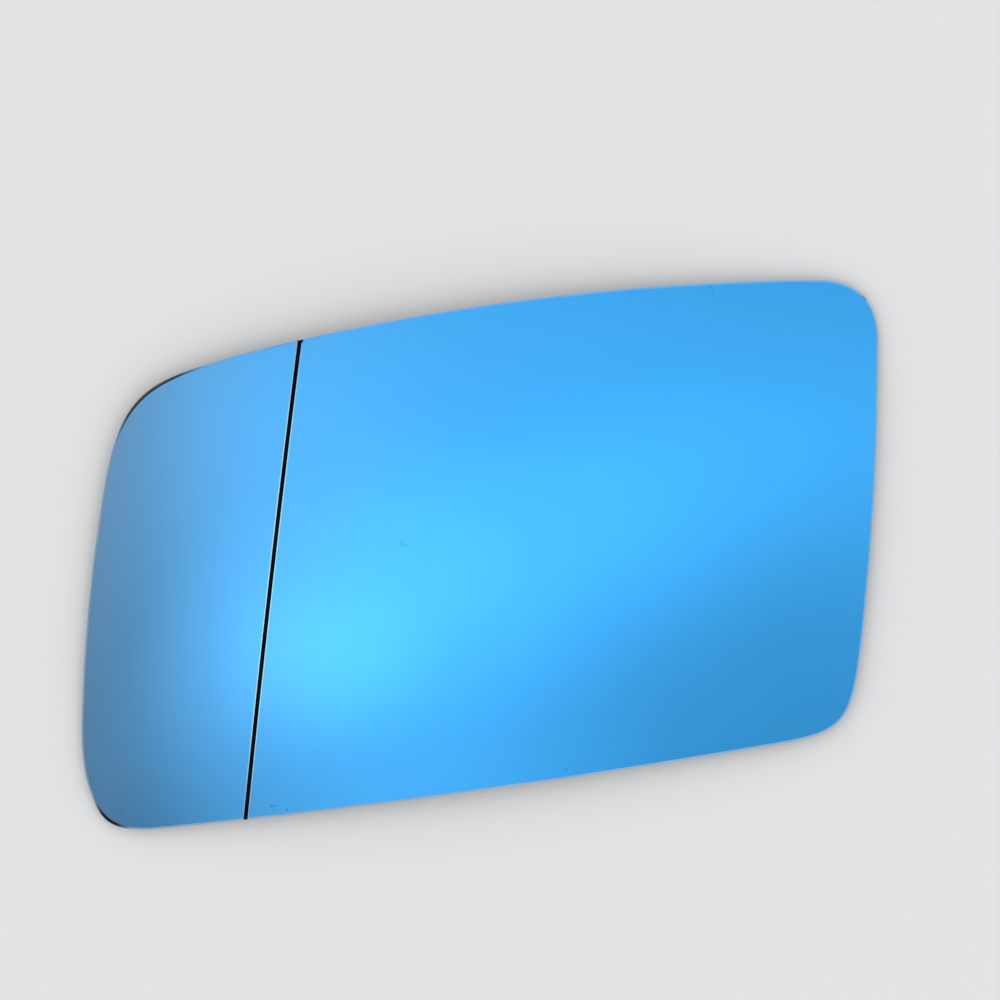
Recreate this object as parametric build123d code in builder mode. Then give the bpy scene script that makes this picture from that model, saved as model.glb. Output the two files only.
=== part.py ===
# Bent glass of a car's left door mirror, lying on its rim with the front up: a convex main zone of one
# radius, a dividing line, and an outer zone that bends ever more tightly towards the edge away from the car
import os
from math import asin, degrees

from build123d import *

# Glass sheet, in millimetres
glass_thickness = 2.0
edge_arris = 0.4

# Plan outline, seen from the front: four sides between corner points, with angles in degrees
base_length = 174.8
base_rise = 7.8
inner_height = 101.8
inner_lean = 3.5
outer_height = 101.8
outer_lean = 5.4

# How far each side bows out over the straight line between its corner points
base_bow = 1.8
inner_bow = 2.1
top_bow = 6.7
outer_bow = 3.5

# Soft corners: the run each takes out of its two sides, and how far it fills the sharp corner
low_outer_run_outer = 26.7
low_outer_run_base = 16.4
low_outer_fill = 0.72
low_inner_run_base = 16.0
low_inner_run_inner = 20.1
low_inner_fill = 0.90
high_inner_run_inner = 13.6
high_inner_run_top = 13.5
high_inner_fill = 0.66
high_outer_run_top = 33.2
high_outer_run_outer = 21.8
high_outer_fill = 0.84

# Bend of the front: the main zone's radius, the radius that the outer zone has tightened to at the
# glass's edge, and the place of the crown, where the glass is level, from the middle of the corners
main_radius = 1260.0
outer_radius = 250.0
crown_outward = 7.0
crown_upward = 5.8

# Dividing line: its place along the base from the low outer corner, its lean and its etched groove
line_along_base = 37.0
line_lean = 6.5
line_width = 0.9
line_depth = 0.1

# Corner points of the outline
low_outer = Vector(0, 0)
low_inner = low_outer + Vector(base_length, 0).rotate(Axis.Z, base_rise)
high_inner = low_inner + Vector(0, inner_height).rotate(Axis.Z, -inner_lean)
high_outer = low_outer + Vector(0, outer_height).rotate(Axis.Z, -outer_lean)

# Whole sides, counter-clockwise, each bowed outwards
base_side = SagittaArc(low_outer, low_inner, -base_bow)
inner_side = SagittaArc(low_inner, high_inner, -inner_bow)
top_side = SagittaArc(high_inner, high_outer, -top_bow)
outer_side = SagittaArc(high_outer, low_outer, -outer_bow)


def draw_side(side, first_run, last_run):
    """Draws what the corners at its two ends leave of a side."""
    add(side.trim(first_run / side.length, 1 - last_run / side.length))


def draw_corner(leaving, leaving_run, joining, joining_run, fill):
    """Draws a corner that leaves one side and joins the next one without a kink."""
    leaving_share = 1 - leaving_run / leaving.length
    joining_share = joining_run / joining.length
    start = leaving.position_at(leaving_share)
    end = joining.position_at(joining_share)
    start_handle = leaving.tangent_at(leaving_share) * leaving_run * fill
    end_handle = joining.tangent_at(joining_share) * joining_run * fill
    Bezier(start, start + start_handle, end - end_handle, end)


with BuildSketch() as outline:
    with BuildLine():
        draw_side(base_side, low_outer_run_base, low_inner_run_base)
        draw_corner(base_side, low_inner_run_base, inner_side, low_inner_run_inner, low_inner_fill)
        draw_side(inner_side, low_inner_run_inner, high_inner_run_inner)
        draw_corner(inner_side, high_inner_run_inner, top_side, high_inner_run_top, high_inner_fill)
        draw_side(top_side, high_inner_run_top, high_outer_run_top)
        draw_corner(top_side, high_outer_run_top, outer_side, high_outer_run_outer, high_outer_fill)
        draw_side(outer_side, high_outer_run_outer, low_outer_run_outer)
        draw_corner(outer_side, low_outer_run_outer, base_side, low_outer_run_base, low_outer_fill)
    make_face()

# Axis of the bend: square to the dividing line, through the centre of the main zone's sphere
across = Vector(1, 0).rotate(Axis.Z, -line_lean)
crown = (low_outer + low_inner + high_inner + high_outer) / 4 + Vector(-crown_outward, crown_upward)
sphere_centre = crown - Vector(0, 0, main_radius)
bend_axis = Axis(sphere_centre, across)

# The blank runs the base's length from the crown, both ways round the axis and towards the car
blank_angle = degrees(asin(base_length / main_radius))
blank_start = across.cross(Vector(0, 0, 1)).rotate(Axis((0, 0, 0), across), -blank_angle)
bend_plane = Plane(sphere_centre, across, blank_start)

# The dividing line's place in the bend, and the outer zone's width and turn from there to the edge
line_foot = low_outer + Vector(line_along_base, 0).rotate(Axis.Z, base_rise)
line_angle = degrees(asin((crown - line_foot).dot(across) / main_radius))
line_normal = Vector(0, 1).rotate(Axis.Z, line_angle)
line_outwards = Vector(-1, 0).rotate(Axis.Z, line_angle)
zone_width = line_along_base + outer_bow
zone_turn = zone_width * (1 / main_radius + 1 / outer_radius) / 2
zone_blank = 2 * line_along_base


def draw_bend(depth):
    """Draws the section of the face at this depth in the glass, and returns its inner and outer ends.

    The main zone is an arc about the sphere's centre. Past the dividing line the curvature grows evenly.
    """
    radius = main_radius - depth
    growth = (1 / (outer_radius - depth) - 1 / radius) / (zone_width - depth * zone_turn)
    even_drop = zone_blank**2 / radius / 2
    added_drop = zone_blank**3 * growth / 6
    main_zone = CenterArc((0, 0), radius, 90 - blank_angle, blank_angle + line_angle)
    line_point = main_zone @ 1
    outer_zone = Bezier(
        line_point,
        line_point + line_outwards * zone_blank / 3,
        line_point + line_outwards * zone_blank * 2 / 3 - line_normal * even_drop / 3,
        line_point + line_outwards * zone_blank - line_normal * (even_drop + added_drop),
    )
    return main_zone @ 0, outer_zone @ 1


with BuildPart() as sheet:
    # Bent blank of the glass's thickness
    with BuildSketch(bend_plane):
        with BuildLine():
            front_inner, front_outer = draw_bend(0)
            back_inner, back_outer = draw_bend(glass_thickness)
            Line(front_inner, back_inner)
            Line(front_outer, back_outer)
        make_face()
    revolve(axis=bend_axis, revolution_arc=2 * blank_angle)

    # Cut to the outline, with an arris ground on the front and back edges
    extrude(outline.sketch, amount=base_length, both=True, mode=Mode.INTERSECT)
    walls = sheet.faces().filter_by(lambda face: abs(face.normal_at().Z) < 0.5)
    chamfer(walls.edges() - walls.edges().filter_by(Axis.Z), length=edge_arris)

    # Dividing line etched into the front
    with BuildSketch(bend_plane):
        with Locations(line_normal * main_radius):
            Rectangle(line_width, 2 * line_depth, rotation=line_angle)
    revolve(axis=bend_axis, revolution_arc=2 * blank_angle, mode=Mode.SUBTRACT)

# The glass lies on the lowest points of its rim, with the middle of its box over the origin
box = sheet.part.bounding_box()
with BuildPart() as mirror_glass:
    with Locations((-box.center().X, -box.center().Y, -box.min.Z)):
        add(sheet.part)

os.makedirs("parts", exist_ok=True)
mirror_glass.part.label = "mirror_glass"
export_step(mirror_glass.part, "parts/mirror_glass.step")
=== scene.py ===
"""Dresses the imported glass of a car's door mirror, in metres and in the frame of its solid.

One sheet of bent glass lies on its rim with the front up. Its front carries a blue chrome coat, parted by an
etched black line into a convex main zone and an outer zone that bends ever more tightly. Its front edge is
ground to a narrow arris, and its wall and back are sealed with a dark lacquer. The glass's sizes are in
millimetres.
"""

import logging
import math
import sys
from collections.abc import Iterable
from dataclasses import dataclass
from enum import Enum

import bpy
from mathutils import Matrix, Vector


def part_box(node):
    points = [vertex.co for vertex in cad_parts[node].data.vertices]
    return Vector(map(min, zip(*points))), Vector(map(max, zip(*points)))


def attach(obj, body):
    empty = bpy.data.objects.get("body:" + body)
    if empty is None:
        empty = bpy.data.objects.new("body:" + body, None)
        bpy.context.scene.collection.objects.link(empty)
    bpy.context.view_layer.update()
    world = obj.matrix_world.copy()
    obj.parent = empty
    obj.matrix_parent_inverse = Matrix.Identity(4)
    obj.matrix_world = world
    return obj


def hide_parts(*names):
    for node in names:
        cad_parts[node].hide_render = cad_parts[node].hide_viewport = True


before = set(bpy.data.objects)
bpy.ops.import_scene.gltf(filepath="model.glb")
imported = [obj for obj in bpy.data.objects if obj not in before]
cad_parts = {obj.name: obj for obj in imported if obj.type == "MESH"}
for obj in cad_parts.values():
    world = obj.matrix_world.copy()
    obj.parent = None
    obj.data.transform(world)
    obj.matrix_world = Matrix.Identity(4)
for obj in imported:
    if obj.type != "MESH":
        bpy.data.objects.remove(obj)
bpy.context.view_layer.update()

log = logging.getLogger("mirror_glass")

# Short names for types. Inputs gives the kind of socket and the value of each of a tree's inputs, by name
Tree = bpy.types.NodeTree
Node = bpy.types.Node
Socket = bpy.types.NodeSocket
Outputs = bpy.types.NodeOutputs
Inputs = dict[str, tuple[str, object]]

MM = 0.001

# The mesh's attributes: a face's film, and how far a point is outwards of the line and deep in the glass
FILM = "film"
LINE_OFFSET = "line_offset"
EDGE_DEPTH = "edge_depth"


def linear(colour: str) -> tuple[float, float, float, float]:
    """Turns an sRGB colour into the linear one that shaders take.

    Args:
        colour: The colour as a hex value, such as "#47B2FE".

    Returns:
        Linear red, green and blue, and an alpha of 1.
    """
    parts = [int(colour[i : i + 2], 16) / 255 for i in (1, 3, 5)]
    red, green, blue = (c / 12.92 if c <= 0.04045 else ((c + 0.055) / 1.055) ** 2.4 for c in parts)
    return red, green, blue, 1.0


def add_node(tree: Tree, kind: str, inputs: dict | None = None, **settings: object) -> Node:
    """Adds a node with its settings, and sets or links its inputs.

    Args:
        tree: The shader or geometry tree that gets the node.
        kind: Blender's name for the type of node.
        inputs: A value, a socket, or a node whose first output is taken, for each input by name or number.
            A list links several to one input.
        settings: The node's properties, such as its operation or mode.

    Returns:
        The new node.
    """
    node = tree.nodes.new(kind)
    for name, value in settings.items():
        setattr(node, name, value)
    for key, value in (inputs or {}).items():
        shown = [socket for socket in node.inputs if socket.enabled]
        named = (socket for socket in shown if socket.name == key)
        target = shown[key] if isinstance(key, int) else next(named)
        for source in value if isinstance(value, list) else [value]:
            if isinstance(source, Node):
                source = next(socket for socket in source.outputs if socket.enabled)
            if isinstance(source, Socket):
                tree.links.new(source, target)
            else:
                target.default_value = source
    return node


def new_tree(name: str, inputs: dict[str, str], outputs: dict[str, str]) -> tuple[Tree, Outputs]:
    """Starts a geometry tree with named inputs and outputs.

    Args:
        name: The tree's name.
        inputs: The kind of socket for each input, by name.
        outputs: The kind of socket for each output, by name.

    Returns:
        The tree, and the sockets that give its inputs.
    """
    tree = bpy.data.node_groups.new(name, "GeometryNodeTree")
    for in_out, sockets in (("INPUT", inputs), ("OUTPUT", outputs)):
        for socket, kind in sockets.items():
            tree.interface.new_socket(socket, in_out=in_out, socket_type="NodeSocket" + kind)
    return tree, add_node(tree, "NodeGroupInput").outputs


def new_material(name: str) -> tuple[bpy.types.Material, Tree, Socket]:
    """Starts a material with an empty tree.

    Args:
        name: What the finish is and how it was made.

    Returns:
        The material, its tree, and the socket with the piece's Object coordinates.
    """
    material = bpy.data.materials.new(name)
    material.use_nodes = True
    tree = material.node_tree
    tree.nodes.clear()
    return material, tree, add_node(tree, "ShaderNodeTexCoord").outputs["Object"]


def kinds(inputs: Inputs) -> dict[str, str]:
    """Gives the kind of socket of each input, by name."""
    return {name: kind for name, (kind, _) in inputs.items()}


def picked(sockets: Outputs, names: Iterable[str]) -> dict[str, Socket]:
    """Picks sockets by name, to pass a tree's inputs on to a group."""
    return {name: sockets[name] for name in names}


def in_plan(tree: Tree, place: Socket | Node) -> Node:
    """Lays a place or a direction flat, so that what is drawn on it is drawn in plan."""
    return add_node(tree, "ShaderNodeVectorMath", {0: place, 1: (1, 1, 0)}, operation="MULTIPLY")


class Film(Enum):
    """What lies on a face of the sheet. The value is the name of the tree's input for its material."""

    COAT = "Coat"
    ARRIS = "Arris"
    LIP = "Lip"
    LINE = "Line"
    LACQUER = "Lacquer"

    @property
    def number(self) -> int:
        """The film's number in the attribute that faces carry through the tree."""
        return list(Film).index(self)


@dataclass(frozen=True)
class SoftSpot:
    """A soft spot in plan: its middle, half lengths and turn, its peak, and how far in it rises to that."""

    middle: tuple[float, float]
    half: tuple[float, float]
    turn_deg: float
    peak: float
    rise: float = 0.6

    def add(self, tree: Tree, flat: Node, unit: float = MM) -> Node:
        """Adds the spot to a shader tree.

        Args:
            tree: The shader tree.
            flat: The node that gives the place or the direction in plan.
            unit: What the spot's lengths are in: millimetres on the glass, and 1 among directions.

        Returns:
            The node that gives the spot's strength, from 0 at its rim to the peak.
        """
        spot = {
            "Vector": flat,
            "Location": (self.middle[0] * unit, self.middle[1] * unit, 0),
            "Rotation": (0, 0, math.radians(self.turn_deg)),
            "Scale": (self.half[0] * unit, self.half[1] * unit, 1),
        }
        centred = add_node(tree, "ShaderNodeMapping", spot, vector_type="TEXTURE")
        cone = add_node(tree, "ShaderNodeTexGradient", {0: centred}, gradient_type="SPHERICAL")
        limits = {"Value": cone.outputs["Fac"], "From Max": self.rise, "To Max": self.peak}
        return add_node(tree, "ShaderNodeMapRange", limits, interpolation_type="SMOOTHSTEP")


@dataclass(frozen=True)
class CreptLacquer:
    """A place where lacquer crept round the edge from the back.

    It covers the arris and stands a little out of the outline, as a low bead. Its outer part may be worn to
    brown.
    """

    name: str
    middle: tuple[float, float]
    reach: float
    height: float
    shade: float
    wear: float
    rise: float

    @property
    def mark(self) -> SoftSpot:
        """The mark that it leaves on the arris."""
        return SoftSpot(self.middle, (self.reach, self.reach), 0.0, self.shade, self.rise)

    def inputs(self) -> Inputs:
        """Gives the tree's inputs for the bead, in metres.

        Returns:
            The kind and value of each input, by name.
        """
        return {
            f"{self.name} Middle": ("Vector", Vector(self.middle).to_3d() * MM),
            f"{self.name} Reach": ("Float", self.reach * MM),
            f"{self.name} Height": ("Float", self.height * MM),
        }


@dataclass(frozen=True)
class HairScratch:
    """A hair-fine scratch that runs in from the edge along an arc and fades at its lower end."""

    arc_centre: tuple[float, float] = (42.3, 56.7)
    arc_radius: float = 10.46
    left_limit: float = 46.0
    fade_from: float = 56.0
    fade_to: float = 61.3
    half_width: float = 0.17
    shade: float = 0.5

    def add(self, tree: Tree, flat: Node) -> Node:
        """Adds the scratch to a shader tree.

        Args:
            tree: The shader tree.
            flat: The node that gives Object coordinates in plan.

        Returns:
            The node that gives how far the scratch covers the surface, from 0 to 1.
        """
        centre = (self.arc_centre[0] * MM, self.arc_centre[1] * MM, 0)
        reach = add_node(tree, "ShaderNodeVectorMath", {0: flat, 1: centre}, operation="DISTANCE")
        off_arc = add_node(tree, "ShaderNodeMath", {0: reach, 1: self.arc_radius * MM}, operation="SUBTRACT")
        beside = add_node(tree, "ShaderNodeMath", {0: off_arc}, operation="ABSOLUTE")
        limits = {"Value": beside, "From Max": self.half_width * MM, "To Min": self.shade, "To Max": 0.0}
        stroke = add_node(tree, "ShaderNodeMapRange", limits, interpolation_type="SMOOTHSTEP")
        axes = add_node(tree, "ShaderNodeSeparateXYZ", {0: flat})
        ends = {"Value": axes.outputs["Y"], "From Min": self.fade_from * MM, "From Max": self.fade_to * MM}
        fade = add_node(tree, "ShaderNodeMapRange", ends)
        side = {0: axes.outputs["X"], 1: self.left_limit * MM}
        right_half = add_node(tree, "ShaderNodeMath", side, operation="GREATER_THAN")
        faded = add_node(tree, "ShaderNodeMath", {0: stroke, 1: fade}, operation="MULTIPLY")
        return add_node(tree, "ShaderNodeMath", {0: faded, 1: right_half}, operation="MULTIPLY")


@dataclass(frozen=True)
class WearMarks:
    """Marks of use on the front: a scratch, a few specks, dust, and ink that ran at the line's upper end."""

    scratch: HairScratch = HairScratch()
    specks: tuple[SoftSpot, ...] = (
        SoftSpot((-47.1, -56.5), (0.5, 0.46), 0.0, 0.42),
        SoftSpot((-46.4, -56.5), (1.05, 0.4), 0.0, 0.30),
        SoftSpot((-43.45, -57.38), (0.30, 0.30), 0.0, 0.65),
        SoftSpot((-17.41, 2.90), (0.68, 0.36), 0.0, 0.26),
        SoftSpot((-16.98, 2.25), (1.45, 0.36), 0.0, 0.18),
        SoftSpot((19.42, -48.3), (0.35, 0.95), 0.0, 0.24),
        SoftSpot((-80.9, -58.75), (0.3, 0.85), 0.0, 0.25),
        SoftSpot((-87.75, -50.1), (0.28, 0.28), 0.0, 0.4),
    )
    ink_run: SoftSpot = SoftSpot((-40.1, 48.2), (0.5, 0.75), -20.0, 1.0)
    dust_spacing_mm: float = 7.0
    dust_mm: float = 0.16
    dust_core: float = 0.2
    dust_shade: float = 0.35
    clean_share: float = 0.72

    def add(self, tree: Tree, flat: Node) -> Node:
        """Adds the scratch, the specks and the dust to a shader tree.

        Args:
            tree: The shader tree.
            flat: The node that gives Object coordinates in plan.

        Returns:
            The node that gives how far a mark covers the surface, from 0 to 1.
        """
        total = self.scratch.add(tree, flat)
        for speck in self.specks:
            spot = speck.add(tree, flat)
            total = add_node(tree, "ShaderNodeMath", {0: total, 1: spot}, operation="MAXIMUM")

        # Dust: one grain in a cell, of which few are dark enough to see
        spacing = {"Vector": flat, "Scale": 1 / (self.dust_spacing_mm * MM)}
        cells = add_node(tree, "ShaderNodeTexVoronoi", spacing)
        grain_size = self.dust_mm / self.dust_spacing_mm
        limits = {
            "Value": cells.outputs["Distance"],
            "From Min": self.dust_core * grain_size,
            "From Max": grain_size,
            "To Min": 1.0,
            "To Max": 0.0,
        }
        grain = add_node(tree, "ShaderNodeMapRange", limits, interpolation_type="SMOOTHSTEP")
        chance = add_node(tree, "ShaderNodeSeparateColor", {0: cells.outputs["Color"]})
        shades = {"Value": chance.outputs["Red"], "From Min": self.clean_share, "To Max": self.dust_shade}
        seen = add_node(tree, "ShaderNodeMapRange", shades)
        dust = add_node(tree, "ShaderNodeMath", {0: grain, 1: seen}, operation="MULTIPLY")
        return add_node(tree, "ShaderNodeMath", {0: total, 1: dust}, operation="MAXIMUM")


@dataclass(frozen=True)
class Patches:
    """Soft, uneven patches: their size, how fine they are, and the values that they run between.

    What lies below or above the shown part of the pattern's range takes the first or the last value.
    """

    size_mm: float
    detail: float
    values: tuple[float, float] = (0.0, 1.0)
    shown: tuple[float, float] = (0.0, 1.0)

    def add(self, tree: Tree, place: Socket | Node) -> Node:
        """Adds the patches to a shader tree.

        Args:
            tree: The shader tree.
            place: What gives the coordinates.

        Returns:
            The node that gives the value.
        """
        pattern = {"Vector": place, "Scale": 1 / (self.size_mm * MM), "Detail": self.detail}
        limits = {
            "Value": add_node(tree, "ShaderNodeTexNoise", pattern),
            "From Min": self.shown[0],
            "From Max": self.shown[1],
            "To Min": self.values[0],
            "To Max": self.values[1],
        }
        return add_node(tree, "ShaderNodeMapRange", limits)


@dataclass(frozen=True)
class Relief:
    """Low, uneven bumps: their size, how fine they are, their height, and how strongly they show."""

    size_mm: float
    detail: float
    height_mm: float
    strength: float = 1.0

    def add(self, tree: Tree, place: Socket) -> Node:
        """Adds the bumps to a shader tree.

        Args:
            tree: The shader tree.
            place: The socket with Object coordinates.

        Returns:
            The node that gives the surface's direction.
        """
        pattern = {"Vector": place, "Scale": 1 / (self.size_mm * MM), "Detail": self.detail}
        height = add_node(tree, "ShaderNodeTexNoise", pattern)
        bumps = {"Height": height, "Distance": self.height_mm * MM, "Strength": self.strength}
        return add_node(tree, "ShaderNodeBump", bumps)


@dataclass(frozen=True)
class EtchedBlack:
    """Black ceramic ink fired into an etched line: dead matt, with a few greyer thin spots."""

    black: str = "#020913"
    thin_black: str = "#0A131E"
    roughness: float = 0.75
    specular_level: float = 0.02
    thin_spots: Patches = Patches(0.7, detail=3.0, shown=(0.5, 0.8))
    relief: Relief = Relief(0.7, detail=3.0, height_mm=0.01, strength=0.5)

    def material(self) -> bpy.types.Material:
        """Makes the dividing line's material.

        Returns:
            The material.
        """
        material, tree, place = new_material("black_ceramic_ink_fired_in_etched_line")
        thin = self.thin_spots.add(tree, place)
        tones = {"Factor": thin, "A": linear(self.black), "B": linear(self.thin_black)}
        finish = {
            "Base Color": add_node(tree, "ShaderNodeMix", tones, data_type="RGBA"),
            "Roughness": self.roughness,
            "Specular IOR Level": self.specular_level,
            "Normal": self.relief.add(tree, place),
        }
        shader = add_node(tree, "ShaderNodeBsdfPrincipled", finish)
        add_node(tree, "ShaderNodeOutputMaterial", {"Surface": shader})
        return material


@dataclass(frozen=True)
class BlueChromeCoat:
    """Blue chrome sputtered on bent float glass.

    A clear, deep blue mirror. Its blue turns to slate towards the outer edge, slowly across the glass and
    soon over
    the tighter bend: a painted reflection of the duller surroundings that the bend mirrors there.
    """

    main_blue: str = "#44B3FF"
    outer_slate: str = "#618EB3"
    scratch_blue: str = "#1A60B4"
    slate_reflection_from: float = -130.0
    slate_reflection_power: float = 3.84

    # Broad, faint clouds in the film's depth of colour
    clouds: Patches = Patches(45.0, detail=2.0, values=(0.98, 1.02))

    # Roughness: smears from wiping dull the mirror a little, and marks dull it more
    smears: Patches = Patches(60.0, detail=5.0, values=(0.025, 0.045), shown=(0.45, 0.75))
    smear_stretch: float = 4.0
    smear_turn_deg: float = 34.38
    mark_roughness: float = 0.3

    # Bent glass is never quite even: a slow, very low wave
    wave: Relief = Relief(38.0, detail=0.0, height_mm=0.0012)

    ink: EtchedBlack = EtchedBlack()
    marks: WearMarks = WearMarks()

    def film(self, tree: Tree, zone_width: float) -> Node:
        """Adds the coat's colour, which turns to slate towards the outer edge as a painted reflection.

        Args:
            tree: The shader tree.
            zone_width: The outer zone's width.

        Returns:
            The node that gives the colour.
        """
        # Painted reflection: the blue turns to slate towards the outer edge, for the duller surroundings
        # mirrored there
        offset = add_node(tree, "ShaderNodeAttribute", attribute_name=LINE_OFFSET).outputs["Fac"]
        limits = {"Value": offset, "From Min": self.slate_reflection_from * MM, "From Max": zone_width * MM}
        share = add_node(tree, "ShaderNodeMapRange", limits)
        painted_reflection = add_node(tree, "ShaderNodeMath", {0: share, 1: self.slate_reflection_power}, operation="POWER")
        tones = {"Factor": painted_reflection, "A": linear(self.main_blue), "B": linear(self.outer_slate)}
        return add_node(tree, "ShaderNodeMix", tones, data_type="RGBA")

    def marked(self, tree: Tree, flat: Node, clean: Node) -> tuple[Node, Node]:
        """Adds the marks of use over a clean colour.

        Args:
            tree: The shader tree.
            flat: The node that gives Object coordinates in plan.
            clean: The node that gives the colour without marks.

        Returns:
            The node that gives the colour with marks, and the one that gives how far a mark covers it.
        """
        worn = self.marks.add(tree, flat)
        tones = {"Factor": worn, "A": clean, "B": linear(self.scratch_blue)}
        scratched = add_node(tree, "ShaderNodeMix", tones, data_type="RGBA")
        run = self.marks.ink_run.add(tree, flat)
        tones = {"Factor": run, "A": scratched, "B": linear(self.ink.black)}
        inked = add_node(tree, "ShaderNodeMix", tones, data_type="RGBA")
        return inked, add_node(tree, "ShaderNodeMath", {0: worn, 1: run}, operation="MAXIMUM")

    def material(self, zone_width: float) -> bpy.types.Material:
        """Makes the coat's material.

        Args:
            zone_width: The outer zone's width.

        Returns:
            The material.
        """
        material, tree, place = new_material("blue_chrome_sputtered_on_float_glass")
        tones = {"Factor": 1.0, "A": self.film(tree, zone_width), "B": self.clouds.add(tree, place)}
        clouded = add_node(tree, "ShaderNodeMix", tones, data_type="RGBA", blend_type="MULTIPLY")
        colour, covered = self.marked(tree, in_plan(tree, place), clouded)
        turn = (0, 0, math.radians(self.smear_turn_deg))
        stretch = {"Vector": place, "Rotation": turn, "Scale": (1.0, self.smear_stretch, 1.0)}
        smeared = self.smears.add(tree, add_node(tree, "ShaderNodeMapping", stretch))
        dulled = {0: covered, 1: self.mark_roughness, 2: smeared}
        finish = {
            "Base Color": colour,
            "Metallic": 1.0,
            "Roughness": add_node(tree, "ShaderNodeMath", dulled, operation="MULTIPLY_ADD"),
            "Normal": self.wave.add(tree, place),
        }
        shader = add_node(tree, "ShaderNodeBsdfPrincipled", finish)
        add_node(tree, "ShaderNodeOutputMaterial", {"Surface": shader})
        return material


@dataclass(frozen=True)
class CoatedArris:
    """The same chrome over an arris that a fine wheel ground.

    A narrow band of the coat's colour, dull and paler, as the wheel laid glass bare here and there.
    """

    coat: BlueChromeCoat = BlueChromeCoat()
    bare_glass: str = "#CBD9E1"
    bare_patches: Patches = Patches(14.0, detail=3.0, values=(0.14, 0.36), shown=(0.3, 0.7))
    worn_brown: str = "#594E46"
    crept_lacquer: str = "#1C1918"
    crept_places: tuple[CreptLacquer, ...] = (
        CreptLacquer("High Bead", (-74.3, 36.7), 15.8, 0.58, 1.0, 1.0, 0.6),
        CreptLacquer("Low Bead", (-83.5, -59.3), 7.3, 0.62, 1.0, 0.1, 0.8),
        CreptLacquer("Inner Bead", (86.8, 58.1), 1.1, 0.18, 0.4, 1.0, 0.8),
    )
    worn_share: tuple[float, float] = (0.2, 0.5)
    ink_edge: float = 0.06

    # Grit of a fine wheel, drawn coarser than it is so that it shows
    roughness: Patches = Patches(0.12, detail=2.0, values=(0.28, 0.46))
    grit: Relief = Relief(0.12, detail=2.0, height_mm=0.008)

    def lacquered(self, tree: Tree, flat: Node, ground: Node, arris: float) -> Node:
        """Adds the lacquer that crept over the arris: dark along its inner part, worn brown along its outer.

        Args:
            tree: The shader tree.
            flat: The node that gives Object coordinates in plan.
            ground: The node that gives the colour without lacquer.
            arris: The arris's depth.

        Returns:
            The node that gives the colour.
        """
        crept = 0.0
        worn = 0.0
        for lacquer in self.crept_places:
            cover = lacquer.mark.add(tree, flat)
            browned = add_node(tree, "ShaderNodeMath", {0: cover, 1: lacquer.wear}, operation="MULTIPLY")
            crept = add_node(tree, "ShaderNodeMath", {0: crept, 1: cover}, operation="MAXIMUM")
            worn = add_node(tree, "ShaderNodeMath", {0: worn, 1: browned}, operation="MAXIMUM")
        limits = {
            "Value": add_node(tree, "ShaderNodeAttribute", attribute_name=EDGE_DEPTH).outputs["Fac"],
            "From Min": self.worn_share[0] * arris * MM,
            "From Max": self.worn_share[1] * arris * MM,
            "To Max": worn,
        }
        outer_part = add_node(tree, "ShaderNodeMapRange", limits)
        tones = {"Factor": outer_part, "A": linear(self.crept_lacquer), "B": linear(self.worn_brown)}
        coloured = add_node(tree, "ShaderNodeMix", tones, data_type="RGBA")
        tones = {"Factor": crept, "A": ground, "B": coloured}
        return add_node(tree, "ShaderNodeMix", tones, data_type="RGBA")

    def inked(self, tree: Tree, edge: Node, line_width: float) -> Node:
        """Adds the line's ink, which ran out over the arris.

        Args:
            tree: The shader tree.
            edge: The node that gives the colour without ink.
            line_width: The dividing line's width.

        Returns:
            The node that gives the colour.
        """
        offset = add_node(tree, "ShaderNodeAttribute", attribute_name=LINE_OFFSET).outputs["Fac"]
        limits = {
            "Value": add_node(tree, "ShaderNodeMath", {0: offset}, operation="ABSOLUTE"),
            "From Min": (line_width / 2 - self.ink_edge) * MM,
            "From Max": (line_width / 2 + self.ink_edge) * MM,
            "To Min": 1.0,
            "To Max": 0.0,
        }
        ink = add_node(tree, "ShaderNodeMapRange", limits)
        tones = {"Factor": ink, "A": edge, "B": linear(self.coat.ink.black)}
        return add_node(tree, "ShaderNodeMix", tones, data_type="RGBA")

    def material(self, zone_width: float, line_width: float, arris: float) -> bpy.types.Material:
        """Makes the arris's material.

        Args:
            zone_width: The outer zone's width.
            line_width: The dividing line's width.
            arris: The arris's depth.

        Returns:
            The material.
        """
        material, tree, place = new_material("blue_chrome_over_ground_arris")
        flat = in_plan(tree, place)
        bare = self.bare_patches.add(tree, place)
        # The coat's colour here carries its painted reflection: slate towards the outer edge
        tones = {"Factor": bare, "A": self.coat.film(tree, zone_width), "B": linear(self.bare_glass)}
        ground = add_node(tree, "ShaderNodeMix", tones, data_type="RGBA")
        marked, _ = self.coat.marked(tree, flat, self.lacquered(tree, flat, ground, arris))
        finish = {
            "Base Color": self.inked(tree, marked, line_width),
            "Metallic": 1.0,
            "Roughness": self.roughness.add(tree, place),
            "Normal": self.grit.add(tree, place),
        }
        shader = add_node(tree, "ShaderNodeBsdfPrincipled", finish)
        add_node(tree, "ShaderNodeOutputMaterial", {"Surface": shader})
        return material


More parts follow.
